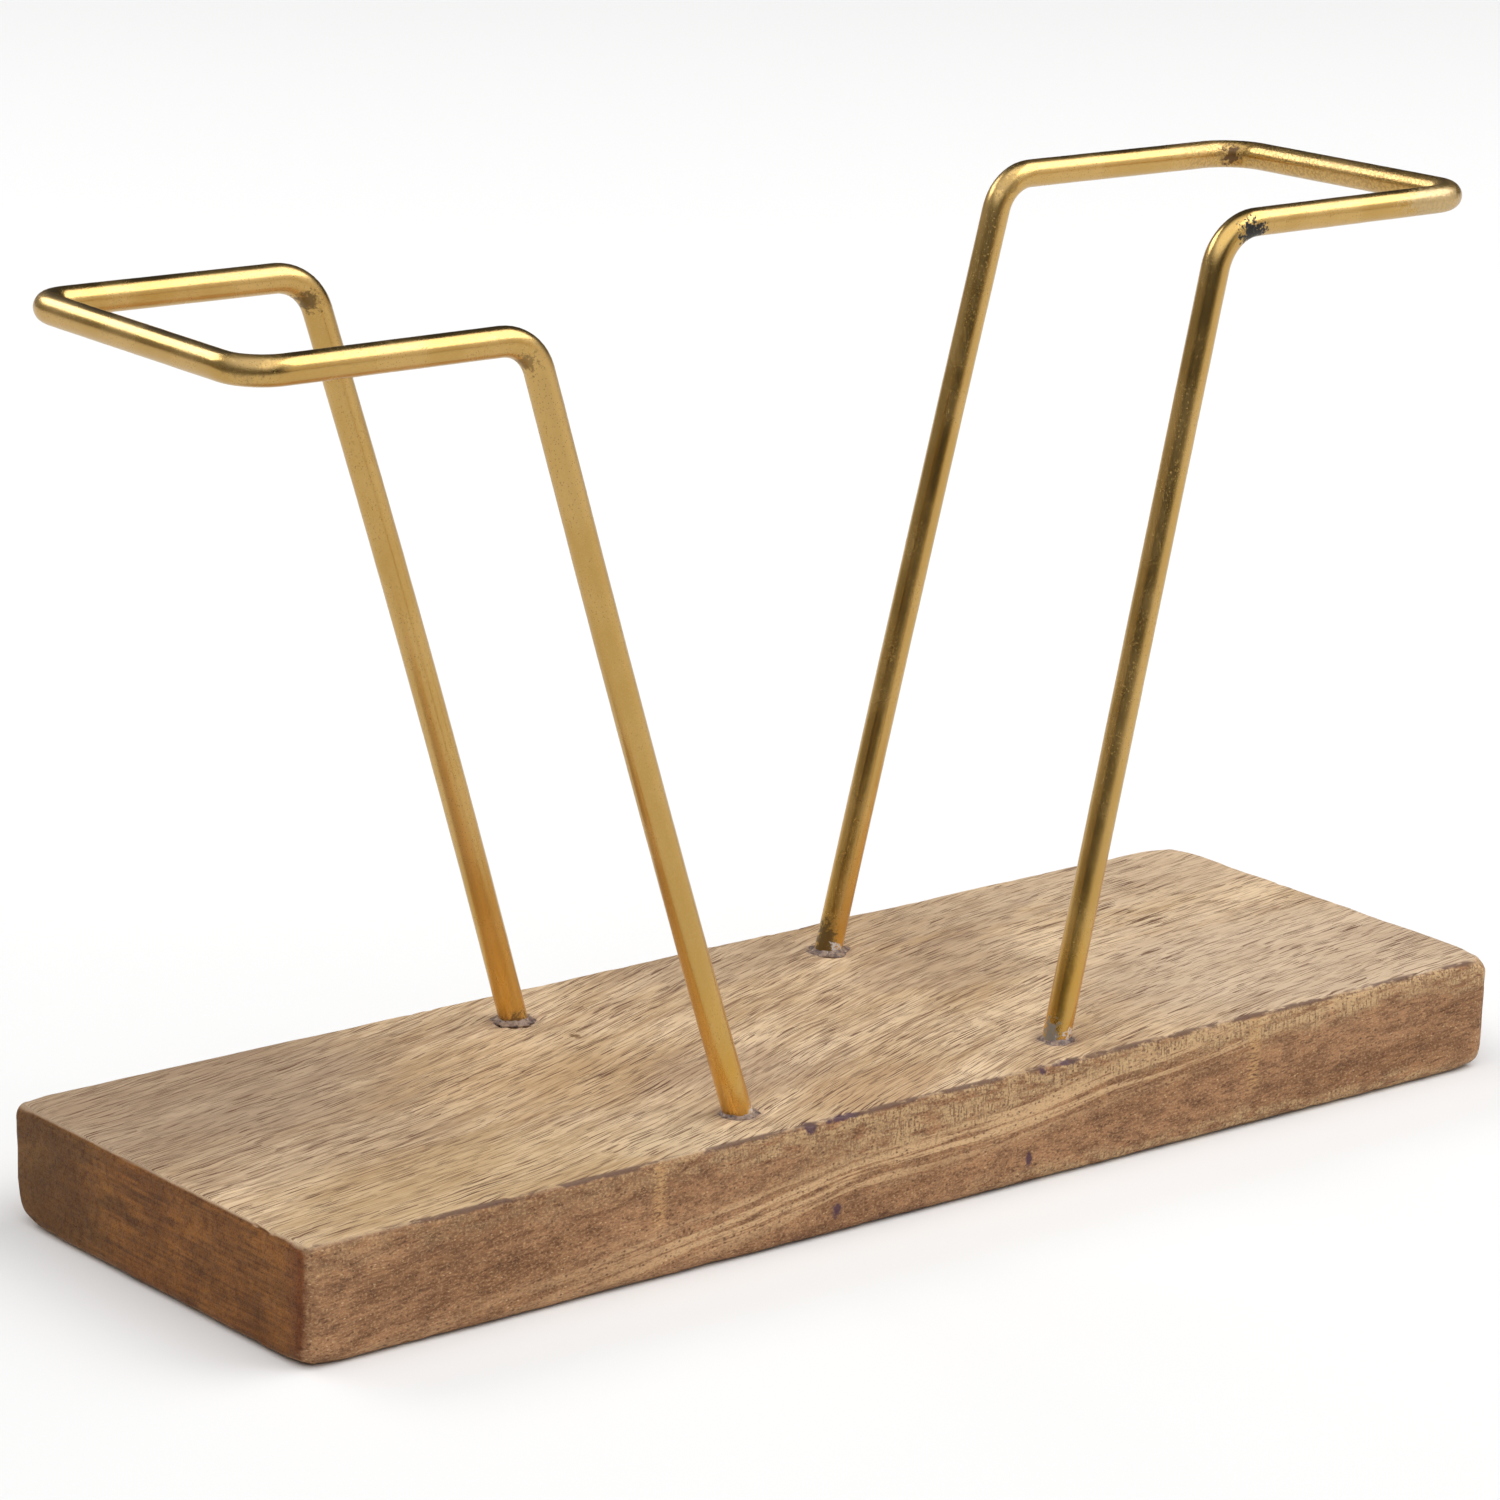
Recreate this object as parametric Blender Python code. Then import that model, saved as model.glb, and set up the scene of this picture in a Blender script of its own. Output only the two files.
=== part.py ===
"""A tabletop stand: two bent wire loops glued into a thick hardwood board.

The board lies along X, with its underside on Z = 0 and its centre over the origin. Each loop is one
round rod. Its two legs stand in blind sockets in the board, lean outwards, and bend at the shoulders
into two nearly level rails. A crossbar joins the rails into a flat rectangular ear. The loops were
bent by hand, so the left one and the right one differ by a few millimetres and a few degrees.

All lengths are in metres. Run it with: blender --background --python part.py
"""

import math
from typing import NamedTuple

import bmesh
import bpy
from mathutils import Vector

# Board
BOARD_LENGTH = 0.240
BOARD_WIDTH = 0.080
BOARD_THICKNESS = 0.0194
BOARD_EDGE_RADIUS = 0.0026
BOARD_EDGE_SEGMENTS = 5

# Rod
ROD_DIAMETER = 0.0048
ROD_RADIUS = ROD_DIAMETER / 2
ROD_BEVEL_RESOLUTION = 10
BEND_STEP = math.radians(8)
LEG_STEPS = 8

# Sockets, measured along the leg from the board's top face
FIT_GAP = 0.00035
SOCKET_DEPTH = 0.012
CUTTER_OVERSHOOT = 0.006
CUTTER_SIDES = 32

# Glue bead round each leg's foot
GLUE_RADIUS = 0.0038
GLUE_HEIGHT = 0.0010
GLUE_SIDES = 32
GLUE_RINGS = 12

# Colour, roughness and metallic share of each finish
WOOD_FINISH = ((0.36, 0.22, 0.11), 0.65, 0.0)
BRASS_FINISH = ((0.68, 0.47, 0.13), 0.28, 1.0)
GLUE_FINISH = ((0.62, 0.55, 0.44), 0.40, 0.0)


class Loop(NamedTuple):
    """One loop's centreline, measured from the middle of the board's top face.

    The shoulders and corners are where the straight runs would meet if the bends were sharp.
    bend_radii go round from the front shoulder to the back shoulder. leg_bows say how far the middle
    of the front leg and of the back leg stands off the straight line, towards +X.
    """

    front_foot: tuple
    front_shoulder: tuple
    front_corner: tuple
    back_corner: tuple
    back_shoulder: tuple
    back_foot: tuple
    bend_radii: tuple
    leg_bows: tuple


LOOPS = {
    "left": Loop(
        front_foot=(-0.0324, -0.0294, 0),
        front_shoulder=(-0.0719, -0.0278, 0.1256),
        front_corner=(-0.1208, -0.0275, 0.1261),
        back_corner=(-0.1208, 0.0276, 0.1265),
        back_shoulder=(-0.0730, 0.0275, 0.1256),
        back_foot=(-0.0334, 0.0274, 0),
        bend_radii=(0.0073, 0.0064, 0.0047, 0.0084),
        leg_bows=(-0.0005, 0.0007),
    ),
    "right": Loop(
        front_foot=(0.0313, -0.0306, 0),
        front_shoulder=(0.0616, -0.0298, 0.1281),
        front_corner=(0.1141, -0.0301, 0.1275),
        back_corner=(0.1143, 0.0250, 0.1263),
        back_shoulder=(0.0631, 0.0249, 0.1273),
        back_foot=(0.0310, 0.0267, 0),
        bend_radii=(0.0085, 0.0063, 0.0067, 0.0070),
        leg_bows=(0, -0.0002),
    ),
}


def clear_scene():
    for old in list(bpy.data.objects):
        bpy.data.objects.remove(old)


def add_object(name, data, parent=None):
    """Link a new object, placed under its parent."""
    made = bpy.data.objects.new(name, data)
    bpy.context.scene.collection.objects.link(made)
    made.parent = parent
    return made


def principled(name, finish):
    colour, roughness, metallic = finish
    material = bpy.data.materials.new(name)
    material.use_nodes = True
    shader = material.node_tree.nodes["Principled BSDF"]
    shader.inputs["Base Color"].default_value = (*colour, 1.0)
    shader.inputs["Roughness"].default_value = roughness
    shader.inputs["Metallic"].default_value = metallic
    return material


def mesh_from(bm, name):
    mesh = bpy.data.meshes.new(name)
    bm.to_mesh(mesh)
    bm.free()
    return mesh


def leg_direction(foot, shoulder):
    """Unit vector up a leg."""
    return (Vector(shoulder) - Vector(foot)).normalized()


def bend(before, corner, after, radius):
    """Points of the arc that rounds a corner between two straight runs."""
    back = (before - corner).normalized()
    ahead = (after - corner).normalized()
    half_opening = back.angle(ahead) / 2
    turn = math.pi - 2 * half_opening
    centre = corner + (back + ahead).normalized() * (radius / math.sin(half_opening))
    start = corner + back * (radius / math.tan(half_opening)) - centre
    sideways = -back * radius
    steps = math.ceil(turn / BEND_STEP)
    angles = [turn * step / steps for step in range(steps + 1)]
    return [centre + start * math.cos(angle) + sideways * math.sin(angle) for angle in angles]


def bowed_leg(foot, top, bow):
    """Points up a leg, from the bottom of its socket to the last one before its bend."""
    up = (top - foot).normalized()
    sideways = Vector((0, 1, 0)).cross(up).normalized()
    points = [foot - up * (SOCKET_DEPTH - FIT_GAP)]
    for step in range(LEG_STEPS):
        share = step / LEG_STEPS
        points.append(foot.lerp(top, share) + sideways * (4 * bow * share * (1 - share)))
    return points


def rod_centreline(loop):
    """The loop's path from the bottom of one socket round to the bottom of the other."""
    corners = [Vector(corner) for corner in loop[:6]]
    bends = [
        bend(before, corner, after, radius)
        for before, corner, after, radius in zip(corners, corners[1:], corners[2:], loop.bend_radii)
    ]
    front_leg = bowed_leg(corners[0], bends[0][0], loop.leg_bows[0])
    back_leg = bowed_leg(corners[-1], bends[-1][-1], loop.leg_bows[1])
    return front_leg + [point for arc in bends for point in arc] + back_leg[::-1]


def make_wire_loop(name, loop, parent):
    """One rod swept along its bent centreline, with flat closed ends."""
    path = rod_centreline(loop)
    curve = bpy.data.curves.new(name, "CURVE")
    curve.dimensions = "3D"
    curve.bevel_depth = ROD_RADIUS
    curve.bevel_resolution = ROD_BEVEL_RESOLUTION
    curve.use_fill_caps = True
    spline = curve.splines.new("POLY")
    spline.points.add(len(path) - 1)
    for point, place in zip(spline.points, path):
        point.co = (*place, 1.0)
    spline.use_smooth = True
    curve.materials.append(principled(name, BRASS_FINISH))
    add_object(name, curve, parent)


def make_leg_cutter(name, foot, shoulder, parent):
    """A guide cylinder that is a little fatter than the leg and ends at the bottom of its socket."""
    length = SOCKET_DEPTH + CUTTER_OVERSHOOT
    bm = bmesh.new()
    bmesh.ops.create_cone(
        bm,
        cap_ends=True,
        segments=CUTTER_SIDES,
        radius1=ROD_RADIUS + FIT_GAP,
        radius2=ROD_RADIUS + FIT_GAP,
        depth=length,
    )
    cutter = add_object(name, mesh_from(bm, name), parent)
    up = leg_direction(foot, shoulder)
    cutter.location = Vector(foot) + up * (length / 2 - SOCKET_DEPTH)
    cutter.rotation_mode = "QUATERNION"
    cutter.rotation_quaternion = up.to_track_quat("Z", "Y")
    cutter.hide_render = True
    cutter.display_type = "WIRE"
    return cutter


def cut_away(piece, cutter):
    modifier = piece.modifiers.new("Cut " + cutter.name, "BOOLEAN")
    modifier.operation = "DIFFERENCE"
    modifier.object = cutter


def make_board(cutters):
    """A rectangular block with every edge rounded and one angled blind socket for each leg."""
    bm = bmesh.new()
    bmesh.ops.create_cube(bm, size=1.0)
    bmesh.ops.scale(bm, vec=(BOARD_LENGTH, BOARD_WIDTH, BOARD_THICKNESS), verts=bm.verts)
    board = add_object("base_board", mesh_from(bm, "base_board"))
    board.location.z = BOARD_THICKNESS / 2
    rounding = board.modifiers.new("Rounded edges", "BEVEL")
    rounding.width = BOARD_EDGE_RADIUS
    rounding.segments = BOARD_EDGE_SEGMENTS
    for cutter in cutters:
        cut_away(board, cutter)
    board.data.materials.append(principled("base_board", WOOD_FINISH))


def make_glue_bead(name, foot, cutter, parent):
    """A low ring of set glue: a dome with a flat underside, which the leg passes through."""
    bm = bmesh.new()
    bmesh.ops.create_uvsphere(bm, u_segments=GLUE_SIDES, v_segments=GLUE_RINGS, radius=1.0)
    bmesh.ops.scale(bm, vec=(GLUE_RADIUS, GLUE_RADIUS, GLUE_HEIGHT), verts=bm.verts)
    whole = bm.verts[:] + bm.edges[:] + bm.faces[:]
    bmesh.ops.bisect_plane(bm, geom=whole, plane_co=(0, 0, 0), plane_no=(0, 0, 1), clear_inner=True)
    bmesh.ops.holes_fill(bm, edges=bm.edges[:])
    bmesh.ops.recalc_face_normals(bm, faces=bm.faces[:])
    mesh = mesh_from(bm, name)
    mesh.shade_smooth()
    mesh.materials.append(principled(name, GLUE_FINISH))
    bead = add_object(name, mesh, parent)
    bead.location = Vector(foot) + Vector((0, 0, FIT_GAP))
    cut_away(bead, cutter)


def make_stand():
    board_top = add_object("board_top", None)
    board_top.location.z = BOARD_THICKNESS
    cutters = []
    for side, loop in LOOPS.items():
        make_wire_loop(f"wire_loop_{side}", loop, board_top)
        legs = {
            "front": (loop.front_foot, loop.front_shoulder),
            "back": (loop.back_foot, loop.back_shoulder),
        }
        for place, (foot, shoulder) in legs.items():
            cutter = make_leg_cutter(f"socket_cutter_{side}_{place}", foot, shoulder, board_top)
            make_glue_bead(f"glue_bead_{side}_{place}", foot, cutter, board_top)
            cutters.append(cutter)
    make_board(cutters)


clear_scene()
make_stand()
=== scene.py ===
"""Looks of a tabletop stand: a worn hardwood board that carries two brass-plated wire loops.

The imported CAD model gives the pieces' places and sizes; only the rods' bend radii are repeated.
The board, the two rods and the four beads of set glue are rebuilt as finer meshes inside the CAD
solids' spaces, with procedural materials. Lengths in the geometry are in metres, and lengths inside
the materials are in millimetres. Colours are linear RGB.
"""

import math
from types import SimpleNamespace
from typing import NamedTuple

import bpy
import numpy as np
from mathutils import Matrix, Vector, noise


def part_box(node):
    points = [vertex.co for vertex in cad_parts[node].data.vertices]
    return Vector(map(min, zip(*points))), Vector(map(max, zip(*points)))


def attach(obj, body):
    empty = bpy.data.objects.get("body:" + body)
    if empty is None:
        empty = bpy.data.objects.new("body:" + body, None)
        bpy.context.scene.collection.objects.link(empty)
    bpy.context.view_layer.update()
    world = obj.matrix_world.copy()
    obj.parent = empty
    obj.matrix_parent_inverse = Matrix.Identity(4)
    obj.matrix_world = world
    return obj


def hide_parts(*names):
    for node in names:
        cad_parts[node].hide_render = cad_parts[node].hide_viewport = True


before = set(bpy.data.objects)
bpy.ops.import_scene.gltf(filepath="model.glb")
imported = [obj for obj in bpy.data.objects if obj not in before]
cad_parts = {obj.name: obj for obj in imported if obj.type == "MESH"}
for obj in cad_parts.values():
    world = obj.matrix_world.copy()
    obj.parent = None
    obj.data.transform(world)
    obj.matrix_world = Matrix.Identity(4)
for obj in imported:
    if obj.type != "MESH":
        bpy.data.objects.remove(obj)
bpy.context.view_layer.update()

MM = 0.001
X, Y, Z = range(3)

# Camera: the direction it looks from, the point it looks at and its lens
CAMERA_AZIMUTH = math.radians(38.657)
CAMERA_ELEVATION = math.radians(15.805)
CAMERA_ROLL = math.radians(1.05)
CAMERA_DISTANCE = 974.66 * MM
CAMERA_TARGET = Vector((-7.79, 0, 66.34)) * MM
CAMERA_LENS = 148.72
CAMERA_SENSOR = 36
CAMERA_CLIP = (0.01, 50)

# Lights: name, direction from the object, width and height, power
LIGHTS = (
    ("key", (0.60, -0.31, 0.74), (1.5, 1.1), 12.5),
    ("rear", (-0.29, 0.75, 0.59), (1.0, 0.6), 6),
)
LIGHT_DISTANCE = 1.6

# Floor, and the table that reflections show in its place: tan, and dark further along TABLE_WAY
FLOOR_HALF = 6.0
FLOOR_DROP = 0.05 * MM
FLOOR_PALE = (0.86, 0.86, 0.86)
TABLE_TAN = (0.60, 0.57, 0.51)
TABLE_DARK = (0.05, 0.04, 0.03)
TABLE_WAY = (-0.75, -0.66, 0.0)

# Surroundings: the directions of their parts, and their light's tint near the floor and higher up
BACK_WALL = (-0.55, 0.83, 0.05)
CEILING = (-0.26, -0.33, 0.905)
SIDE_WINDOW = (0.72, -0.66, 0.22)
LOW_TINT = (1.0, 0.86, 0.66)
WHITE = (1.0, 1.0, 1.0)
REFLECTION_LOSS = 0.22
SEEN_STRENGTH = 0.98

# Board
BOARD_LOW, BOARD_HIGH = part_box("base_board")
BOARD_TOP = BOARD_HIGH.z
COARSE_STEP = 1.25 * MM
FINE_STEP = 0.36 * MM
EDGE_BAND = 4.5 * MM
FOOT_BAND = 5.5 * MM

# The board's rounding radii in millimetres; away from all edges the radius is FAR_RADIUS
EDGE_RADII = {
    ("top", "left"): 1.1,
    ("top", "right"): 1.9,
    ("top", "front"): 1.5,
    ("top", "back"): 1.5,
    ("bottom", "left"): 2.4,
    ("bottom", "right"): 2.6,
    ("bottom", "front"): 2.3,
    ("bottom", "back"): 2.4,
    ("left", "front"): 2.8,
    ("left", "back"): 3.0,
    ("right", "front"): 3.4,
    ("right", "back"): 3.2,
}
CORNER_RADII = {
    ("bottom", "left", "back"): 6.0,
    ("bottom", "left", "front"): 4.8,
    ("top", "right", "back"): 4.6,
    ("top", "right", "front"): 3.8,
    ("bottom", "right", "front"): 4.4,
    ("bottom", "right", "back"): 4.4,
    ("top", "left", "back"): 3.2,
    ("top", "left", "front"): 2.2,
}
FAR_RADIUS = 2.0 * MM
FAR_WEIGHT = 1e-6
CORNER_WEIGHT = 4
EDGE_SPREAD = 3.5 * MM
CORNER_SPREAD = 3.2 * MM

# The board's wear
SURFACE_WAVE = 0.10 * MM
EDGE_WEAR = 0.22 * MM
WEAR_SPREAD = 3.0 * MM
CHIP_LEVEL = 0.42
CHIP_DEPTH = 1.1 * MM
TOP_CHIP_SHARE = 0.55

# Sockets
SOCKET_CLEARANCE = 0.30 * MM
SOCKET_DEPTH = 12.0 * MM
SOCKET_RIPPLE = 0.22 * MM
SOCKET_RINGS = 7
SOCKET_SIDES = 40
CUTTER_RISE = 5 * MM

# Torn wood round each leg: its depth and reach in millimetres and its direction. It is deepest at
# TORN_INNER millimetres from the leg's centreline.
TORN_FEET = {
    ("left", "front"): (0.20, 3.4, (0.2, -1.0)),
    ("left", "back"): (0.95, 4.4, (-0.45, -0.9)),
    ("right", "front"): (0.30, 3.6, (0.3, -1.0)),
    ("right", "back"): (0.45, 4.2, (-0.2, -1.0)),
}
TORN_INNER = 2.6
TORN_LAYER = 1.2 * MM
RING_DEPTH = 0.06 * MM

# Rods
OUTWARD = {"left": -1, "right": 1}
ROD_SIDES = 48
ROD_STEP = 0.9 * MM
ROD_RIPPLE = 0.018 * MM
ROD_SHRINK = 0.985
BEND_RADII = {
    "left": (7.3 * MM, 6.4 * MM, 4.7 * MM, 8.4 * MM),
    "right": (8.5 * MM, 6.3 * MM, 6.7 * MM, 7.0 * MM),
}

# Where the CAD rods are cut to find their centrelines: heights from the board's top and down from
# the rod's top, distances in from the rod's outer end, and places along Y
LEG_SLICES = 9
LEG_START = 0.5 * MM
LEG_STOP = 24 * MM
LEG_END_GAP = 0.3 * MM
RAIL_CUTS = (34 * MM, 14 * MM)
BAR_CUTS = (-12 * MM, 12 * MM)

# Glue beads
BEAD_SIDES = 72
BEAD_RINGS = 14
BEAD_REACH = {"front": 0.85 * MM, "back": 1.10 * MM}
BEAD_CREEP = 0.70 * MM
BEAD_LIP = 0.10 * MM
BEAD_LEAST_REACH = 0.42
BEAD_LEAST_HEIGHT = 0.02 * MM
BEAD_LUMP = 0.132 * MM
BEAD_LUMP_SIZE = 0.5 * MM
BEAD_SLOPE = 0.14 * MM
BEAD_DEPTH = 0.55 * MM
BEAD_LEAN_DEPTH = 0.5 * MM
BEAD_OVERLAP = 0.93
BEAD_FALL = 1.7


# ---------------------------------------------------------------- reading the CAD nodes


def section_centre(node, axis, value, side_axis, side):
    """Middle of the cut that the plane axis = value makes through a node, on one side of zero."""
    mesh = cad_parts[node].data
    places = np.array([vertex.co for vertex in mesh.vertices])
    ends = np.array([edge.vertices for edge in mesh.edges])
    start, stop = places[ends[:, 0]], places[ends[:, 1]]
    crossing = (start[:, axis] - value) * (stop[:, axis] - value) < 0
    start, stop = start[crossing], stop[crossing]
    share = ((value - start[:, axis]) / (stop[:, axis] - start[:, axis]))[:, None]
    cuts = start + (stop - start) * share
    cuts = cuts[cuts[:, side_axis] * side > 0]
    return Vector((cuts.min(0) + cuts.max(0)) / 2)


def crossing_of_lines(a, b, c, d):
    """The point midway between the line through a and b and the line through c and d."""
    first, second, between = b - a, d - c, a - c
    ff, fs, ss = first.dot(first), first.dot(second), second.dot(second)
    fb, sb = first.dot(between), second.dot(between)
    spread = ff * ss - fs * fs
    on_first = a + first * ((fs * sb - ss * fb) / spread)
    on_second = c + second * ((ff * sb - fs * fb) / spread)
    return (on_first + on_second) / 2


def measure_loop(side):
    """Leg slices, sharp corners and rod radius of one wire loop, read from its CAD solid."""
    node = f"wire_loop_{side}"
    low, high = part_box(node)
    outward = OUTWARD[side]
    heights = np.linspace(BOARD_TOP + LEG_START, high.z - LEG_STOP, LEG_SLICES)
    legs = [[section_centre(node, Z, z, Y, half) for z in heights] for half in (-1, 1)]
    outer = low.x if outward < 0 else high.x
    rail_xs = [outer - outward * distance for distance in RAIL_CUTS]
    rails = [[section_centre(node, X, x, Y, half) for x in rail_xs] for half in (-1, 1)]
    bar = [section_centre(node, Y, y, X, outward) for y in BAR_CUTS]
    shoulders = [crossing_of_lines(*leg[-2:], *rail) for leg, rail in zip(legs, rails)]
    corners = [crossing_of_lines(*rail, *bar) for rail in rails]
    radius = (high.z - max(point.z for point in [*corners, *shoulders])) * ROD_SHRINK
    return legs, shoulders, corners, radius


def arc(before, corner, after, radius, step):
    """Points of the arc that rounds a corner between two straight runs."""
    back, ahead = (before - corner).normalized(), (after - corner).normalized()
    half_opening = back.angle(ahead) / 2
    turn = math.pi - 2 * half_opening
    centre = corner + (back + ahead).normalized() * (radius / math.sin(half_opening))
    start = corner + back * (radius / math.tan(half_opening)) - centre
    count = max(3, math.ceil(turn * radius / step))
    angles = [turn * index / count for index in range(count + 1)]
    return [centre + start * math.cos(a) - back * radius * math.sin(a) for a in angles]


def resampled(points, step):
    """The same path with evenly spaced points."""
    lengths = [(b - a).length for a, b in zip(points, points[1:])]
    distances = np.concatenate([[0], np.cumsum(lengths)])
    wanted = np.linspace(0, distances[-1], int(distances[-1] / step) + 1)
    columns = [np.interp(wanted, distances, [point[axis] for point in points]) for axis in (X, Y, Z)]
    return [Vector(row) for row in zip(*columns)]


class Rod(NamedTuple):
    """A rod's radius, and its centreline from its front socket's bottom to its back socket's."""

    path: list
    radius: float


def read_rod(side):
    (front, back), shoulders, corners, radius = measure_loop(side)
    turns = [front[-1], shoulders[0], *corners, shoulders[1], back[-1]]
    bends = []
    for index, bend_radius in enumerate(BEND_RADII[side]):
        bends += arc(*turns[index : index + 3], bend_radius, ROD_STEP / 2)
    bottoms = []
    for leg in (front, back):
        up = (leg[1] - leg[0]).normalized()
        bottoms.append(leg[0] - up * (SOCKET_DEPTH - LEG_END_GAP))
    points = [bottoms[0], *front, *bends, *back[::-1], bottoms[1]]
    return Rod(resampled(points, ROD_STEP), radius)


RODS = {side: read_rod(side) for side in OUTWARD}


def foot_of(side, place):
    """Where a leg's centreline meets the board's top face, and the direction up the leg."""
    path = RODS[side].path if place == "front" else RODS[side].path[::-1]
    for low, high in zip(path, path[1:]):
        if high.z > BOARD_TOP:
            up = (high - low).normalized()
            return low + up * ((BOARD_TOP - low.z) / up.z), up
    raise ValueError("the leg never leaves the board")


FEET = {(side, place): foot_of(side, place) for side in RODS for place in ("front", "back")}


def nearest_index(path, point):
    return min(range(len(path)), key=lambda index: (path[index] - point).length)


# ---------------------------------------------------------------- node building


class Graph:
    """Short calls for a material's nodes. Every call returns the new node's main output."""

    def __init__(self, tree):
        self.tree = tree

    def node(self, kind, inputs=(), **settings):
        made = self.tree.nodes.new(kind)
        for name, value in settings.items():
            setattr(made, name, value)
        for key, value in dict(inputs).items():
            self.feed(made.inputs[key], value)
        return made

    def feed(self, socket, value):
        if isinstance(value, bpy.types.NodeSocket):
            self.tree.links.new(value, socket)
        elif isinstance(value, tuple) and len(value) == 3 and socket.type == "RGBA":
            socket.default_value = (*value, 1.0)
        else:
            socket.default_value = value

    def math(self, operation, *values, clamp=False):
        made = self.node("ShaderNodeMath", enumerate(values), operation=operation, use_clamp=clamp)
        return made.outputs[0]

    def add(self, a, b):
        return self.math("ADD", a, b)

    def minus(self, a, b):
        return self.math("SUBTRACT", a, b)

    def times(self, a, b):
        return self.math("MULTIPLY", a, b)

    def swing(self, value, amount):
        """Noise moved so that it swings about zero, by up to half the amount each way."""
        return self.times(self.add(value, -0.5), amount)

    def vector(self, operation, *values):
        made = self.node("ShaderNodeVectorMath", enumerate(values), operation=operation)
        return made.outputs["Value" if operation in ("LENGTH", "DISTANCE", "DOT_PRODUCT") else 0]

    def scaled(self, vector, x, y, z):
        return self.vector("MULTIPLY", vector, (x, y, z))

    def combine(self, x, y, z):
        return self.node("ShaderNodeCombineXYZ", {0: x, 1: y, 2: z}).outputs[0]

    def separate(self, vector):
        return self.node("ShaderNodeSeparateXYZ", {0: vector}).outputs

    def noise(self, vector, scale=1.0, detail=3.0, roughness=0.5):
        inputs = {"Vector": vector, "Scale": scale, "Detail": detail, "Roughness": roughness}
        return self.node("ShaderNodeTexNoise", inputs).outputs[0]

    def sized_noise(self, vector, sizes, detail=3.0, roughness=0.5):
        """Noise whose features are about the given sizes along the vector's axes."""
        return self.noise(self.scaled(vector, *[1 / size for size in sizes]), 1.0, detail, roughness)

    def cells(self, vector, scale=1.0):
        """Distance to the nearest of a scatter of points."""
        inputs = {"Vector": vector, "Scale": scale}
        return self.node("ShaderNodeTexVoronoi", inputs).outputs["Distance"]

    def sized_cells(self, vector, sizes):
        return self.cells(self.scaled(vector, *[1 / size for size in sizes]))

    def fade(self, value, start, stop, low=0.0, high=1.0):
        """Smooth change from low to high as value goes from start to stop."""
        inputs = {"Value": value, 1: start, 2: stop, 3: low, 4: high}
        made = self.node("ShaderNodeMapRange", inputs, interpolation_type="SMOOTHSTEP")
        return made.outputs[0]

    def mix(self, share, a, b, blend="MIX"):
        inputs = {"Factor": share, 6: a, 7: b}
        made = self.node("ShaderNodeMix", inputs, data_type="RGBA", blend_type=blend)
        return made.outputs[2]

    def spot(self, coordinates, centre, radius, wobble, stretch=(1, 1, 1)):
        """1 at a place and 0 a radius away from it, with an uneven outline."""
        apart = self.vector("SUBTRACT", coordinates, tuple(centre))
        apart = self.vector("LENGTH", self.scaled(apart, *stretch))
        return self.fade(self.add(apart, wobble), radius * 0.45, radius, 1.0, 0.0)

    def bump(self, height, distance, strength):
        inputs = {"Height": height, "Distance": distance, "Strength": strength}
        return self.node("ShaderNodeBump", inputs).outputs[0]


def new_material(name):
    material = bpy.data.materials.new(name)
    material.use_nodes = True
    graph = Graph(material.node_tree)
    shader = material.node_tree.nodes["Principled BSDF"]
    return material, graph, shader


def millimetres(graph):
    """Place on the object in millimetres, in the object's own frame."""
    place = graph.node("ShaderNodeTexCoord").outputs["Object"]
    return graph.scaled(place, 1 / MM, 1 / MM, 1 / MM)


def in_mm(point):
    return tuple(value / MM for value in point)


# ---------------------------------------------------------------- wood


# Grain
GRAIN_DARK = (0.520, 0.350, 0.195)
GRAIN_LIGHT = (0.800, 0.595, 0.380)
STREAK = (0.315, 0.180, 0.095)
PALE_FIBRE = (0.76, 0.575, 0.375)
DARK_FIBRE = (0.255, 0.145, 0.078)
MOTTLE = (0.33, 0.215, 0.13)
PORE = (0.150, 0.074, 0.040)

# Stains that the cut faces' colours are multiplied by; the ends' dark ones are partly real end grain
# and partly painted shade
SIDE_DARK = (0.38, 0.255, 0.187)
SIDE_LIGHT = (0.59, 0.415, 0.310)
SIDE_PALE = (0.90, 0.78, 0.64)
# Painted shade in part: the end tints also darken the ends as if they lay in shade
END_DARK = (0.19, 0.096, 0.030)
END_LIGHT = (0.47, 0.245, 0.074)
END_FRONT = (0.25, 0.090, 0.035)
END_BACK = (0.235, 0.150, 0.060)

# Torn fibres, flecks and marks
BAND_PALE = (0.58, 0.400, 0.205)
BAND_DARK = (0.20, 0.100, 0.048)
PEPPER = (0.10, 0.048, 0.024)
TORN_LIGHT = (0.62, 0.385, 0.190)
TORN_DARK = (0.17, 0.078, 0.038)
SCRAPED = (0.62, 0.36, 0.15)
GOLD_FLECK = (0.78, 0.56, 0.30)
INK = (0.060, 0.024, 0.052)
EDGE_LINE = (0.10, 0.045, 0.030)
# Partly glue stain and partly painted shade: the dark ring painted round each foot
GLUE_STAIN_AND_SHADE = (0.30, 0.20, 0.17)
NICK = (0.16, 0.075, 0.02)
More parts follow.
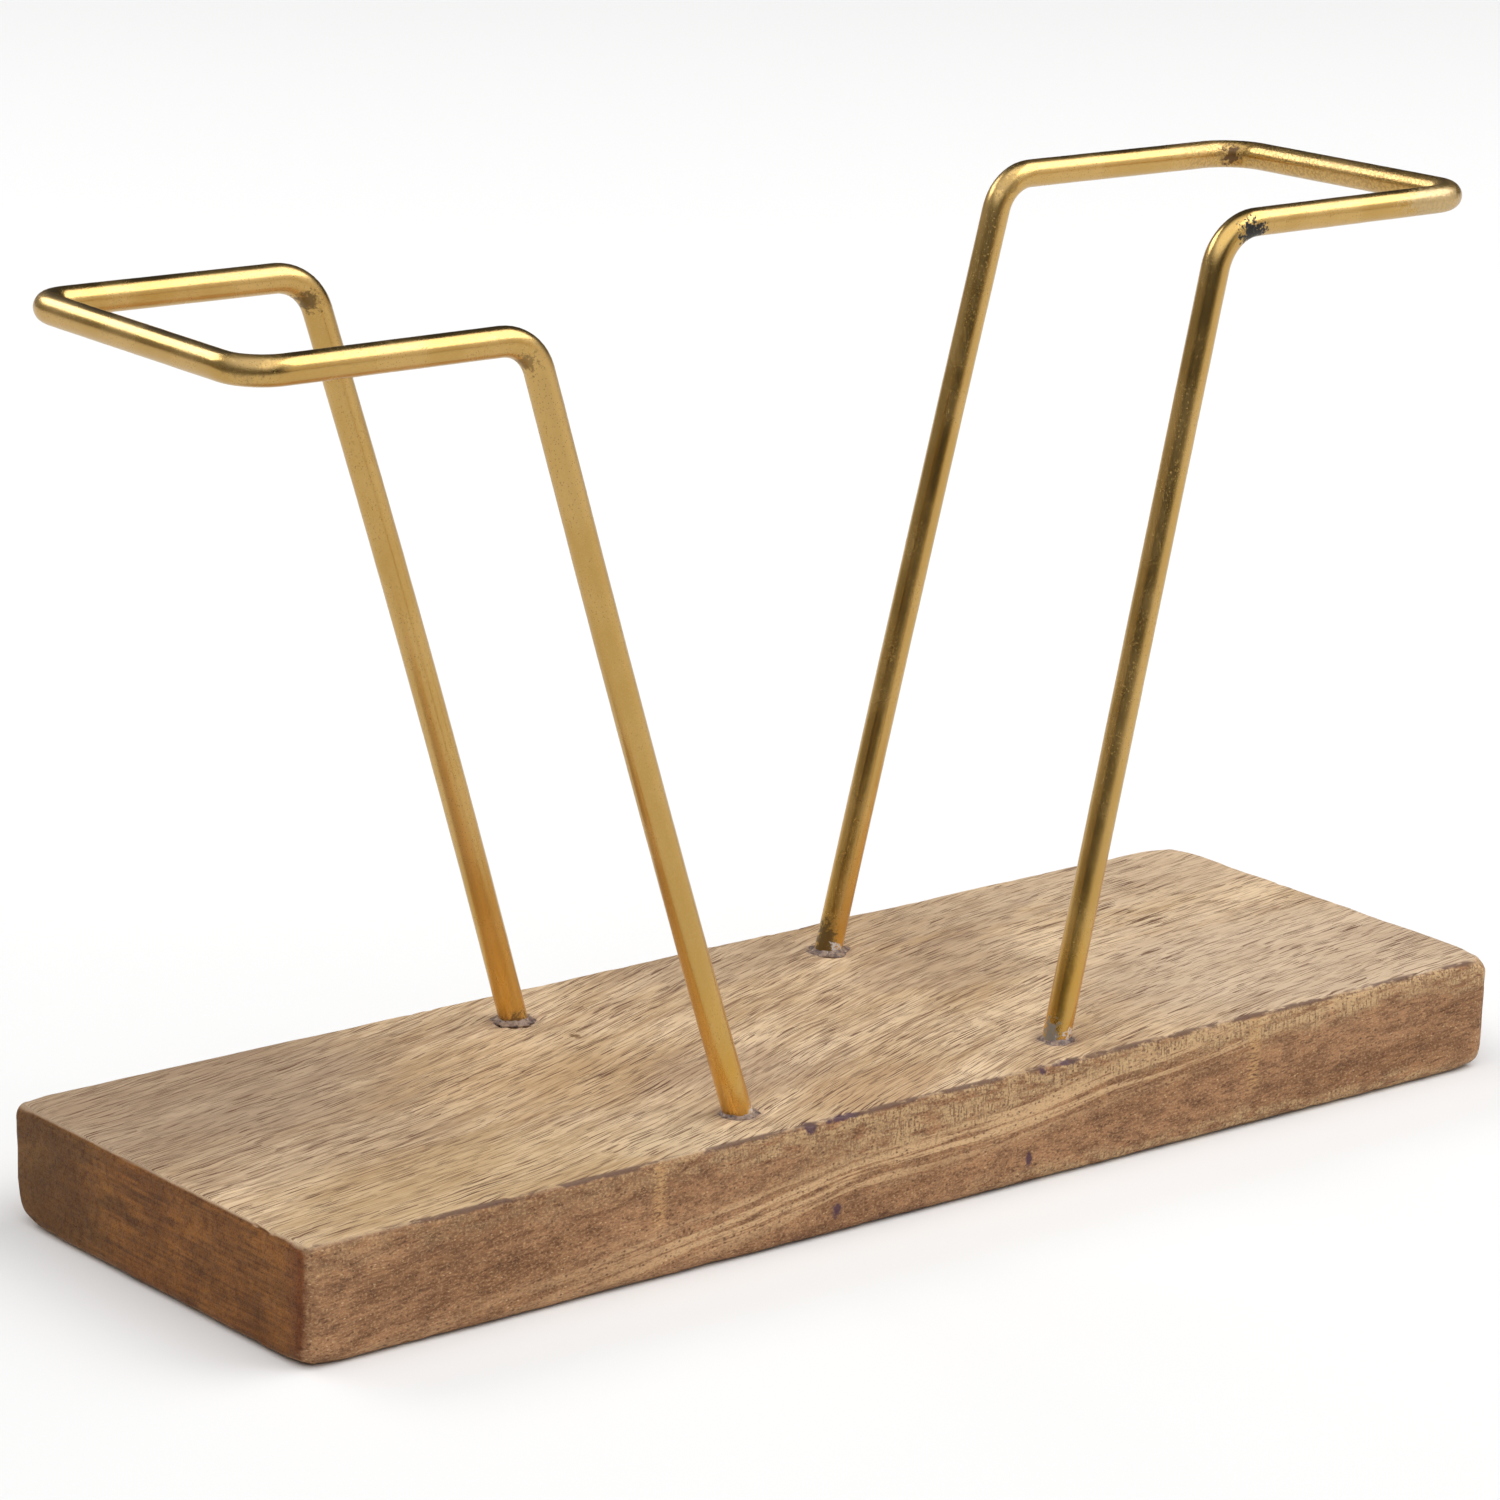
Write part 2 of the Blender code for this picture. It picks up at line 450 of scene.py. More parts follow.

# Softly tinted regions of the top face, the two greyish ones at the right end partly painted sheen:
# place and radius in millimetres, tint, strength
TOP_TINTS_AND_SHEEN = (
    ((-50, 4, 19), 30, (0.50, 0.31, 0.14), 0.34),
    ((-104, 30, 19), 46, (0.29, 0.205, 0.145), 0.60),
    ((-95, 0, 19), 30, (0.33, 0.225, 0.145), 0.40),
    ((-85, -34, 19), 34, (0.50, 0.34, 0.16), 0.40),
    ((42, 10, 19), 20, (0.40, 0.285, 0.20), 0.35),
    ((10, 33, 19), 20, (0.36, 0.25, 0.17), 0.40),
    ((-20, -14, 19), 18, (0.38, 0.25, 0.17), 0.40),
    # Painted sheen in part: these two pale grey patches at the right end also stand for a sheen of
    # light on the top
    ((92, -22, 19), 42, (0.58, 0.45, 0.34), 0.45),
    ((100, 30, 19), 26, (0.50, 0.37, 0.26), 0.40),
    ((-45, -35, 19), 11, (0.66, 0.50, 0.32), 0.60),
    ((-8, -33, 19), 13, (0.56, 0.36, 0.20), 0.45),
    ((60, 30, 19), 18, (0.38, 0.27, 0.19), 0.35),
)

# Ink-like stains on the front face and its top edge: X, Z, length and height in millimetres
INK_STAINS = (
    (-26.5, 18.6, 1.7, 1.3),
    (-21, 4.2, 1.2, 1.4),
    (18, 4.4, 0.8, 1.6),
    (20.5, 18.6, 1.0, 0.9),
    (26, 18.9, 3.4, 0.6),
    (-20, 18.9, 4.6, 0.5),
)
INK_REACH = 2.5

# Upright scrapes on the front face: X and lowest Z in millimetres
SCRAPES = ((-55.5, 7.0), (66.0, 5.0))
NICK_PLACE = (-30.5, 14.5, 19.2)
# Radius of the dark ring round each foot, partly glue stain and partly painted shade
FOOT_STAIN_AND_SHADE_RADIUS = 5.0
FRONT_Y = BOARD_LOW.y / MM
TOP_Z = BOARD_TOP / MM
EDGE_LINE_INSET = 0.55
EDGE_LINE_DROP = 0.45

# The fibres' slope everywhere, and the swirl that adds to it, most of all in the board's middle
BASE_SLOPE = 0.10
SWIRL_X = -12.0
SWIRL_WIDTH = 52
SWIRL_SHIFT = 17.5
LAYER_SLOPE = 0.105
PALE_LAYER = 10.6

# Growth layers hardly cut the fine fibres of the top face, so that they run on as long lines
TOP_LAYER_SHARE = 0.07

# How far a surface's normal points up where a cut face turns into the top face
TURNING_UP = (0.55, 0.9)


def fibre_frame(g, place):
    """Coordinates that run along and across the wood's fibres and up through its growth layers.

    The fibres lean about 9 degrees to the board's length at its ends and about 24 degrees near the
    middle, and the growth layers rise towards +X.
    """
    x, y, z = g.separate(place)
    drift = g.sized_noise(place, (45, 30, 30), detail=2.0)
    swirl = g.math("ARCTANGENT", g.times(g.add(x, -SWIRL_X), 1 / SWIRL_WIDTH))
    lean = g.add(g.times(x, BASE_SLOPE), g.times(swirl, SWIRL_SHIFT))
    across = g.minus(g.add(y, g.swing(drift, 4.5)), lean)
    layer = g.add(g.minus(z, g.times(x, LAYER_SLOPE)), g.swing(drift, 2.8))
    along = g.add(x, g.times(y, 0.3))
    return along, across, layer


def pale_layer(g, w):
    """How much of a paler layer shows; it comes out of the front face and the right end."""
    from_layer = g.math("ABSOLUTE", g.add(w.layer, -PALE_LAYER))
    paleness = g.fade(from_layer, 1.0, 5.4, 1.0, 0.0)
    bend = g.times(g.sized_noise(w.place, (30, 20, 24), detail=0.0), 3)
    streak_place = g.combine(g.times(w.x, 1 / 34), g.times(w.y, 1 / 4), g.add(w.layer, bend))
    streaks = g.noise(streak_place, 1.15, detail=4.0, roughness=0.62)
    paleness = g.times(paleness, g.fade(streaks, 0.43, 0.53, 0.08, 1.0))
    paleness = g.times(paleness, g.fade(w.x, -85.0, -30.0, 0.35, 1.0))
    return g.times(paleness, g.fade(w.normal[Z], *TURNING_UP, 1.0, 0.55))


def open_pores(g, w):
    """Thin dark lines along the fibres, fainter on the cut faces."""
    bend = g.swing(g.sized_noise(w.place, (14, 14, 14)), 0.9)
    pore_place = g.combine(w.along, g.add(w.across, bend), g.add(w.thin_layer, bend))
    pores = g.sized_noise(pore_place, (8.5, 0.26, 0.26), detail=0.0)
    crowd = g.sized_noise(w.fibre, (22, 5, 5))
    width = g.fade(crowd, 0.34, 0.62, 0.295, 0.375)
    pore = g.fade(g.minus(pores, width), -0.025, 0.005, 1.0, 0.0)
    fine_pores = g.sized_cells(pore_place, (7.0, 0.34, 0.34))
    fine_pore = g.times(g.fade(fine_pores, 0.18, 0.34, 1.0, 0.0), 0.60)
    pits = g.math("MAXIMUM", pore, fine_pore)
    return g.times(pits, g.fade(w.normal[Z], *TURNING_UP, 0.45, 1.0))


def wood_guides(g):
    """Coordinates, face masks and shared patterns that the layers of the wood's look use."""
    w = SimpleNamespace()
    w.place = millimetres(g)
    w.x, w.y, w.z = g.separate(w.place)
    w.along, w.across, w.layer = fibre_frame(g, w.place)
    w.fibre = g.combine(w.along, w.across, w.layer)
    w.normal = g.separate(g.node("ShaderNodeNewGeometry").outputs["Normal"])
    w.upward = g.fade(w.normal[Z], *TURNING_UP)
    w.endward = g.fade(g.math("ABSOLUTE", w.normal[X]), 0.6, 0.9)
    w.cut_face = g.math("SUBTRACT", g.minus(1.0, w.upward), w.endward, clamp=True)
    w.thin_layer = g.times(w.layer, g.add(1.0, g.times(w.upward, TOP_LAYER_SHARE - 1)))
    fine_fibre = g.combine(w.along, w.across, w.thin_layer)
    w.streaks = g.sized_noise(fine_fibre, (20, 1.4, 1.4), detail=4.0, roughness=0.60)
    w.threads = g.sized_noise(fine_fibre, (13, 0.32, 0.32), roughness=0.6)
    w.mottle = g.sized_noise(w.place, (5, 5, 2.6), detail=4.0, roughness=0.6)
    w.smear = g.swing(g.noise(g.scaled(w.place, 0.9, 0.9, 0.9), detail=2.0), 1.4)
    w.paleness = pale_layer(g, w)
    w.pits = open_pores(g, w)
    return w


def grain_colour(g, w):
    """Broad patches, then streaks and threads along the fibres, the pale layer and the pores."""
    patches = g.sized_noise(w.fibre, (38, 13, 9), roughness=0.55)
    colour = g.mix(g.fade(patches, 0.34, 0.66), GRAIN_DARK, GRAIN_LIGHT)
    colour = g.mix(g.fade(w.streaks, 0.46, 0.66, 0.0, 0.60), colour, STREAK)
    colour = g.mix(g.fade(w.threads, 0.50, 0.66, 0.0, 0.60), colour, PALE_FIBRE)
    colour = g.mix(g.fade(w.threads, 0.34, 0.48, 0.62, 0.0), colour, DARK_FIBRE)
    colour = g.mix(g.fade(w.mottle, 0.52, 0.72, 0.0, 0.35), colour, MOTTLE)
    colour = g.mix(g.times(w.paleness, 0.85), colour, PALE_FIBRE)
    ragged = g.swing(g.sized_noise(w.fibre, (14, 3, 3)), 26.0)
    # Soft tints on the top face; the greyish ones at the right end are partly painted sheen
    for centre, radius, tint, strength in TOP_TINTS_AND_SHEEN:
        share = g.spot(w.place, centre, radius, ragged, (0.75, 1.25, 1.0))
        colour = g.mix(g.times(g.times(share, strength), w.upward), colour, tint)
    depth = g.fade(g.sized_noise(w.place, (8, 8, 8)), 0.35, 0.65, 0.60, 0.95)
    return g.mix(g.times(w.pits, depth), colour, PORE)


def stain_and_shade_cut_faces(g, w, colour):
    """Cut faces drink more finish than the top: browner front and back; the ends are darkest, partly
    as end grain and partly as painted shade.
    """
    side_stain = g.mix(g.fade(w.mottle, 0.35, 0.65), SIDE_DARK, SIDE_LIGHT)
    side_stain = g.mix(g.times(w.paleness, 0.9), side_stain, SIDE_PALE)
    saw_lines = g.sized_noise(w.place, (6, 16, 0.6), detail=4.0, roughness=0.6)
    end_patches = g.sized_noise(w.place, (12, 12, 6))
    saw_lines = g.add(g.times(saw_lines, 0.55), g.times(end_patches, 0.45))
    # Painted shade in part: the end tint darkens the end faces beyond what their grain gives
    end_stain_and_shade = g.mix(g.fade(saw_lines, 0.34, 0.66), END_DARK, END_LIGHT)
    near_corner = g.fade(w.y, -39.0, -34.0, 1.0, 0.0)
    end_stain_and_shade = g.mix(g.times(near_corner, 0.7), end_stain_and_shade, END_FRONT)
    back_dark = g.fade(w.y, 0.0, 34.0)
    end_stain_and_shade = g.mix(g.times(back_dark, 0.75), end_stain_and_shade, END_BACK)
    stain_and_shade = g.mix(w.upward, g.mix(w.endward, side_stain, end_stain_and_shade), WHITE)
    return g.mix(1.0, colour, stain_and_shade, "MULTIPLY")


def torn_bands(g, w):
    """Bands of pale torn fibres: under the top edge, above the pale layer and along the bottom."""
    height = g.add(w.z, g.swing(g.sized_noise(w.place, (9, 9, 3), detail=4.0), 7.0))
    above_layer = g.times(g.fade(w.layer, 11.0, 13.5), g.fade(w.x, -40.0, -5.0))
    upper = g.math("MAXIMUM", g.fade(height, 13.5, 16.5), above_layer)
    lower = g.times(g.fade(height, 1.2, 4.0, 1.0, 0.0), g.fade(w.x, -10.0, 40.0))
    band = g.times(g.math("MAXIMUM", upper, lower), g.fade(w.x, -75.0, -15.0, 0.25, 1.0))
    broken = g.sized_noise(w.place, (5, 5, 1.4), detail=4.0, roughness=0.65)
    return g.times(g.times(band, g.fade(broken, 0.40, 0.56)), w.cut_face)


def tear_cut_faces(g, w, colour):
    """Saw marks, dark specks, torn fibres, scrapes and pooled gold finish on the cut faces."""
    band = torn_bands(g, w)
    colour = g.mix(g.times(band, 0.75), colour, BAND_PALE)
    upright = g.sized_noise(w.place, (0.40, 0.40, 2.6), detail=2.0, roughness=0.6)
    colour = g.mix(g.times(band, g.fade(upright, 0.40, 0.53, 0.85, 0.0)), colour, BAND_DARK)
    specks = g.sized_cells(w.place, (1.3, 1.3, 1.0))
    colour = g.mix(g.times(g.fade(specks, 0.12, 0.24, 0.75, 0.0), w.cut_face), colour, PEPPER)
    torn = g.sized_noise(w.place, (0.50, 0.50, 0.36), detail=2.0, roughness=0.6)
    torn_share = g.times(w.cut_face, g.add(0.45, g.times(band, 0.55)))
    colour = g.mix(g.times(g.fade(torn, 0.52, 0.64, 0.0, 0.8), torn_share), colour, TORN_LIGHT)
    colour = g.mix(g.times(g.fade(torn, 0.34, 0.46, 0.7, 0.0), torn_share), colour, TORN_DARK)
    for scrape_x, low_z in SCRAPES:
        scrape = g.fade(g.math("ABSOLUTE", g.add(w.x, -scrape_x)), 0.5, 1.8, 1.0, 0.0)
        scrape = g.times(scrape, g.fade(w.z, low_z, low_z + 3.0))
        scrape = g.times(g.times(scrape, g.fade(w.threads, 0.42, 0.58)), w.cut_face)
        colour = g.mix(g.times(scrape, 0.6), colour, SCRAPED)
    flecks = g.fade(g.sized_cells(w.place, (1.3, 1.3, 0.65)), 0.10, 0.22, 1.0, 0.0)
    flecks = g.times(g.times(flecks, g.fade(w.mottle, 0.45, 0.62)), w.cut_face)
    return g.mix(g.times(flecks, 0.6), colour, GOLD_FLECK)


def add_stains(g, w, colour):
    """Ink-like stains, a ragged dark line along the top front edge, darkening round the feet that is
    partly glue stain and partly painted shade, and a nick.
    """
    for stain_x, stain_z, length, height in INK_STAINS:
        stretch = (1 / length, 1 / INK_REACH, 1 / height)
        share = g.spot(w.place, (stain_x, FRONT_Y, stain_z), 1.0, w.smear, stretch)
        colour = g.mix(g.times(share, 0.85), colour, INK)
    behind_edge = g.add(w.y, -FRONT_Y - EDGE_LINE_INSET)
    from_edge = g.vector("LENGTH", g.combine(0.0, behind_edge, g.add(w.z, EDGE_LINE_DROP - TOP_Z)))
    gathered = g.sized_noise(w.place, (7, 2, 2), detail=4.0, roughness=0.65)
    line = g.times(g.fade(from_edge, 0.20, 0.75, 1.0, 0.0), g.fade(gathered, 0.42, 0.54))
    colour = g.mix(g.times(line, 0.80), colour, EDGE_LINE)
    # Painted shade in part: a dark ring round each foot stands partly for glue in the wood and partly
    # for the legs' soft shade
    for foot, _ in FEET.values():
        share = g.spot(w.place, in_mm(foot), FOOT_STAIN_AND_SHADE_RADIUS, g.times(w.smear, 1.3))
        colour = g.mix(g.times(share, 0.55), colour, GLUE_STAIN_AND_SHADE)
    nick = g.spot(w.place, NICK_PLACE, 1.0, w.smear, (0.9, 0.5, 1.0))
    return g.mix(g.times(nick, 0.8), colour, NICK)


def wood_material():
    material, g, shader = new_material("hardwood")
    w = wood_guides(g)
    colour = grain_colour(g, w)
    colour = stain_and_shade_cut_faces(g, w, colour)
    colour = tear_cut_faces(g, w, colour)
    g.feed(shader.inputs["Base Color"], add_stains(g, w, colour))
    sheen = g.sized_noise(w.fibre, (9, 1.2, 1.2))
    roughness = g.add(g.fade(sheen, 0.3, 0.7, 0.50, 0.66), g.times(w.pits, 0.2))
    g.feed(shader.inputs["Roughness"], roughness)
    shader.inputs["Specular IOR Level"].default_value = 0.32
    relief = g.add(g.times(w.threads, 0.5), g.times(w.streaks, 0.4))
    relief = g.minus(relief, g.times(w.pits, 0.9))
    relief = g.add(relief, g.times(g.times(w.mottle, 0.9), g.minus(1.0, w.upward)))
    g.feed(shader.inputs["Normal"], g.bump(relief, 0.16 * MM, 0.75))
    return material


# ---------------------------------------------------------------- board mesh


def graded_positions(low, high, fine_places):
    """Positions from low to high, closely spaced near both ends and near the given places."""
    positions = [low]
    while positions[-1] < high:
        here = positions[-1]
        near_end = min(here - low, high - here) < EDGE_BAND
        near_place = any(abs(here - place) < FOOT_BAND for place in fine_places)
        positions.append(here + (FINE_STEP if near_end or near_place else COARSE_STEP))
    stretch = (high - low) / (positions[-1] - low)
    return [low + (position - low) * stretch for position in positions]


def lattice_shell(xs, ys, zs):
    """Outer surface of a block of lattice cells as places and quads, all facing outwards."""
    index_of, places, quads = {}, [], []
    last = (len(xs) - 1, len(ys) - 1, len(zs) - 1)
    lines = (xs, ys, zs)

    def corner(key):
        if key not in index_of:
            index_of[key] = len(places)
            places.append([lines[axis][key[axis]] for axis in range(3)])
        return index_of[key]

    for axis in range(3):
        one, two = (axis + 1) % 3, (axis + 2) % 3
        for level in (0, last[axis]):
            for i in range(last[one]):
                for j in range(last[two]):
                    quad = []
                    for di, dj in ((0, 0), (1, 0), (1, 1), (0, 1)):
                        key = [0, 0, 0]
                        key[axis], key[one], key[two] = level, i + di, j + dj
                        quad.append(corner(tuple(key)))
                    quads.append(quad if level else quad[::-1])
    return np.array(places), quads


def noise_field(places, scale, seed):
    """Smooth noise from about -1 to 1 at each place; scale is the size of its features in mm."""
    shift = Vector((seed * 17.3, seed * 5.1, seed * 9.7))
    return np.array([noise.noise(Vector(place) / (scale * MM) + shift) for place in places])


def bell(distance, spread):
    return np.exp(-((distance / spread) ** 2))


def edge_radii(places, half):
    """Rounding radius at each place: crisp along the top left edge, softer below and at corners."""
    inside = {
        "top": half.z - places[:, Z],
        "bottom": half.z + places[:, Z],
        "left": half.x + places[:, X],
        "right": half.x - places[:, X],
        "front": half.y + places[:, Y],
        "back": half.y - places[:, Y],
    }
    total = np.full(len(places), FAR_WEIGHT)
    radius = total * FAR_RADIUS
    for (one, two), size in EDGE_RADII.items():
        weight = bell(np.hypot(inside[one], inside[two]), EDGE_SPREAD)
        total += weight
        radius += weight * size * MM
    for faces, size in CORNER_RADII.items():
        distance = np.sqrt(sum(inside[face] ** 2 for face in faces))
        weight = CORNER_WEIGHT * bell(distance, CORNER_SPREAD)
        total += weight
        radius += weight * size * MM
    radius /= total
    return radius * (1 + 0.14 * noise_field(places, 11, 1) + 0.08 * noise_field(places, 3, 2))


def worn_board_shape(places, half):
    """Rounds the block's edges unevenly and wears its surface; places are from its centre."""
    radius = edge_radii(places, half)[:, None]
    size = np.array(half)
    inner = np.clip(places, -size + radius, size - radius)
    outward = places - inner
    outward /= np.linalg.norm(outward, axis=1)[:, None]
    rounded = inner + outward * radius
    distances = np.sort(size - np.abs(places), axis=1)
    nearness = bell(distances[:, 1], WEAR_SPREAD)
    wave = (noise_field(places, 28, 3) + 1) / 2 * SURFACE_WAVE
    wear = np.clip(noise_field(places, 12, 4) + 0.35 * noise_field(places, 3.5, 5), 0, 1)
    chips = np.clip(noise_field(places, 2.2, 6) - CHIP_LEVEL, 0, 1) * CHIP_DEPTH
    chip_share = np.where(places[:, Z] < 0, 1.0, TOP_CHIP_SHARE)
    depth = wave + nearness * (wear * EDGE_WEAR + chips * chip_share)
    return rounded - outward * depth[:, None]


def sink_round_feet(places):
    """Torn wood round each leg: a shallow uneven dish, deepest on one side of the leg."""
    top = places[:, Z] > BOARD_TOP - TORN_LAYER
    rough = noise_field(places, 1.1, 7)
    for key, (depth, reach, towards) in TORN_FEET.items():
        foot = FEET[key][0]
        apart = places[:, :2] - np.array(foot)[:2]
        distance = np.linalg.norm(apart, axis=1) + 1e-9
        facing = (apart @ np.array(towards)) / distance
        share = np.clip((facing + 0.35) / 1.2, 0, 1)
        ring = bell(distance - TORN_INNER * MM, (reach - TORN_INNER) * MM)
        sunk = depth * MM * ring * share * (1 + 0.8 * rough) + RING_DEPTH * ring
        places[:, Z] -= np.where(top, sunk, 0)


def mesh_object(name, places, faces):
    mesh = bpy.data.meshes.new(name)
    mesh.from_pydata([tuple(place) for place in places], [], faces)
    mesh.update()
    made = bpy.data.objects.new(name, mesh)
    bpy.context.scene.collection.objects.link(made)
    return made


def tube_faces(rings, sides):
    """Quads between rings of points that follow one another along a tube."""
    faces = []
    for ring in range(rings - 1):
        for step in range(sides):
            here, after = ring * sides + step, ring * sides + (step + 1) % sides
            faces.append([here, after, after + sides, here + sides])
    return faces


def drill_socket(board, foot, up, radius, seed):
    """Cuts one leg's bore, slightly out of round, down from above the top face."""
    side_a = up.orthogonal().normalized()
    side_b = up.cross(side_a)
    places = []
    for ring in range(SOCKET_RINGS):
        height = -SOCKET_DEPTH + (SOCKET_DEPTH + CUTTER_RISE) * ring / (SOCKET_RINGS - 1)
        for step in range(SOCKET_SIDES):
            angle = math.tau * step / SOCKET_SIDES
            around = side_a * math.cos(angle) + side_b * math.sin(angle)
            ripple = noise.noise(around * 1.7 + Vector((seed, height / MM * 0.3, 0))) * SOCKET_RIPPLE
            places.append(foot + up * height + around * (radius + SOCKET_CLEARANCE + ripple))
    faces = tube_faces(SOCKET_RINGS, SOCKET_SIDES)
    faces.append(list(range(SOCKET_SIDES))[::-1])
    faces.append([(SOCKET_RINGS - 1) * SOCKET_SIDES + step for step in range(SOCKET_SIDES)])
    cutter = mesh_object("socket_cutter", places, faces)
    modifier = board.modifiers.new("Socket", "BOOLEAN")
    modifier.operation = "DIFFERENCE"
    modifier.object = cutter
    return cutter


def apply_modifiers(made, *helpers):
    """Replaces the object's mesh with its finished shape and deletes the helpers."""
    graph = bpy.context.evaluated_depsgraph_get()
    finished = bpy.data.meshes.new_from_object(made.evaluated_get(graph))
    made.modifiers.clear()
    made.data = finished
    for helper in helpers:
        bpy.data.objects.remove(helper)


def finish_piece(made, material, node):
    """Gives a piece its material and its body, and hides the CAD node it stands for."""
    made.data.materials.clear()
    made.data.materials.append(material)
    made.data.shade_smooth()
    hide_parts(node)
    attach(made, "root")


def make_board():
    foot_xs = [foot.x for foot, _ in FEET.values()]
    foot_ys = [foot.y for foot, _ in FEET.values()]
    centre = (BOARD_LOW + BOARD_HIGH) / 2
    half = (BOARD_HIGH - BOARD_LOW) / 2
    xs = graded_positions(-half.x, half.x, foot_xs)
    ys = graded_positions(-half.y, half.y, foot_ys)
    zs = graded_positions(-half.z, half.z, [])
    places, quads = lattice_shell(xs, ys, zs)
    places = worn_board_shape(places, half) + np.array(centre)
    sink_round_feet(places)
    board = mesh_object("board", places, quads)
    cutters = []
    for seed, ((side, _), (foot, up)) in enumerate(FEET.items()):
        cutters.append(drill_socket(board, foot, up, RODS[side].radius, seed * 3.7))
    apply_modifiers(board, *cutters)
    finish_piece(board, wood_material(), "base_board")


# ---------------------------------------------------------------- brass


BRASS_WARM = (0.67, 0.424, 0.120)
BRASS_PALE = (0.77, 0.508, 0.178)
BRASS_GRAIN = (0.84, 0.60, 0.29)
BRASS_PIT = (0.28, 0.14, 0.03)
BRASS_ORANGE = (0.78, 0.430, 0.060)
BLACK = (0.006, 0.005, 0.004)
RUST = (0.16, 0.080, 0.025)
SMUDGE = (0.13, 0.075, 0.022)
STEEL = (0.36, 0.35, 0.33)
PALE = (0.74, 0.62, 0.40)
GLUE_PALE = (0.72, 0.68, 0.66)

# The right rod's crossbar is speckled from the first place along X on, and fully from the second
SPECKLED_X = (98.0, 104.0)
PIT_SHINE_LOSS = 0.35
MARK_ROUGHNESS = 0.28

# Heights above the board's top, in millimetres, between which the orange lacquer fades out
ORANGE_LOW = 2
ORANGE_HIGH = 34


class Mark(NamedTuple):
    """A worn or dirty place on a rod.

    The centre and radius are in millimetres. shine is the share of the metal that is left, depth is
    how deep the mark looks, and stretch multiplies distances from the centre along each axis.
    """

    centre: tuple
    radius: float
    tint: tuple
    strength: float
    shine: float
    depth: float
    stretch: tuple = (1, 1, 1)


def plating(g, place, side):
    """The plating's colour, clouds, grain and pits, with darker lacquer near the feet."""
    x, _, z = g.separate(place)
    cloud = g.sized_noise(place, (9, 9, 16))
    grain = g.noise(g.scaled(place, 4.2, 4.2, 3.4), detail=2.0, roughness=0.6)
    pitting = g.cells(g.scaled(place, 2.6, 2.6, 2.1))
    pit = g.times(g.fade(pitting, 0.12, 0.24, 1.0, 0.0), g.fade(cloud, 0.38, 0.58))
    if side == "right":
        speckle = g.fade(g.noise(place, 1.9), 0.44, 0.52, 1.0, 0.0)
        speckle = g.times(g.fade(x, *SPECKLED_X), speckle)
        pit = g.math("MAXIMUM", pit, g.times(speckle, 0.55))
    colour = g.mix(g.fade(cloud, 0.35, 0.65), BRASS_WARM, BRASS_PALE)
    colour = g.mix(g.fade(grain, 0.45, 0.75, 0.0, 0.30), colour, BRASS_GRAIN)
    colour = g.mix(g.times(pit, 0.65), colour, BRASS_PIT)
    orange = g.fade(z, TOP_Z + ORANGE_LOW, TOP_Z + ORANGE_HIGH, 1.0, 0.0)
    patchy = g.sized_noise(place, (2.2, 2.2, 7))
    orange = g.times(orange, g.fade(patchy, 0.35, 0.65, 0.35, 0.70))
    return g.mix(orange, colour, BRASS_ORANGE), cloud, grain, pit


def brass_material(side):
    """Brass plating with one rod's own worn and dirty places."""
    material, g, shader = new_material(f"brass_{side}")
    place = millimetres(g)
    colour, cloud, grain, pit = plating(g, place, side)
    metal = g.add(1.0, g.times(pit, -PIT_SHINE_LOSS))
    height = g.minus(g.times(grain, 0.35), pit)
    rough = g.fade(cloud, 0.3, 0.7, 0.22, 0.31)
    ragged = g.swing(g.noise(g.scaled(place, 1.3, 1.3, 1.3), detail=4.0, roughness=0.65), 7.0)
    for mark in rod_marks(side):
        share = g.spot(place, mark.centre, mark.radius, ragged, mark.stretch)
        share = g.times(share, mark.strength)
        colour = g.mix(share, colour, mark.tint)
        metal = g.math("MINIMUM", metal, g.add(1.0, g.times(share, mark.shine - 1.0)))
        rough = g.add(rough, g.times(share, MARK_ROUGHNESS))
        height = g.minus(height, g.times(share, mark.depth))
    g.feed(shader.inputs["Base Color"], colour)
    g.feed(shader.inputs["Metallic"], g.math("MAXIMUM", metal, 0.0))
    g.feed(shader.inputs["Roughness"], rough)
    g.feed(shader.inputs["Normal"], g.bump(height, 0.04 * MM, 0.8))
    shader.inputs["Coat Weight"].default_value = 0.55
    shader.inputs["Coat Roughness"].default_value = 0.12
    return material


def near_foot(side, place, *offset):
    """A place near a leg's foot, with the offset and the result in millimetres."""
    return in_mm(FEET[(side, place)][0] + Vector(offset) * MM)


def on_rod(side, near, towards):
    """The point on a rod's surface nearest a place, on the side facing a direction, in mm."""
    path, radius = RODS[side]
    index = min(max(nearest_index(path, near), 1), len(path) - 2)
    along = (path[index + 1] - path[index - 1]).normalized()
    outward = Vector(towards)
    outward = (outward - along * outward.dot(along)).normalized()
    return in_mm(path[index] + outward * radius)


def rod_turns(side):
    """Corner and shoulder places of a rod, found on its path."""
    path = RODS[side].path
    outward = OUTWARD[side]
    front = [point for point in path if point.y < 0]
    back = [point for point in path if point.y > 0]
    outer_front = max(front, key=lambda p: outward * p.x - p.y)
    outer_back = max(back, key=lambda p: outward * p.x + p.y)
    shoulder_front = max(front, key=lambda p: p.z - outward * p.x)
    shoulder_back = max(back, key=lambda p: p.z - outward * p.x)
    return outer_front, outer_back, shoulder_front, shoulder_back


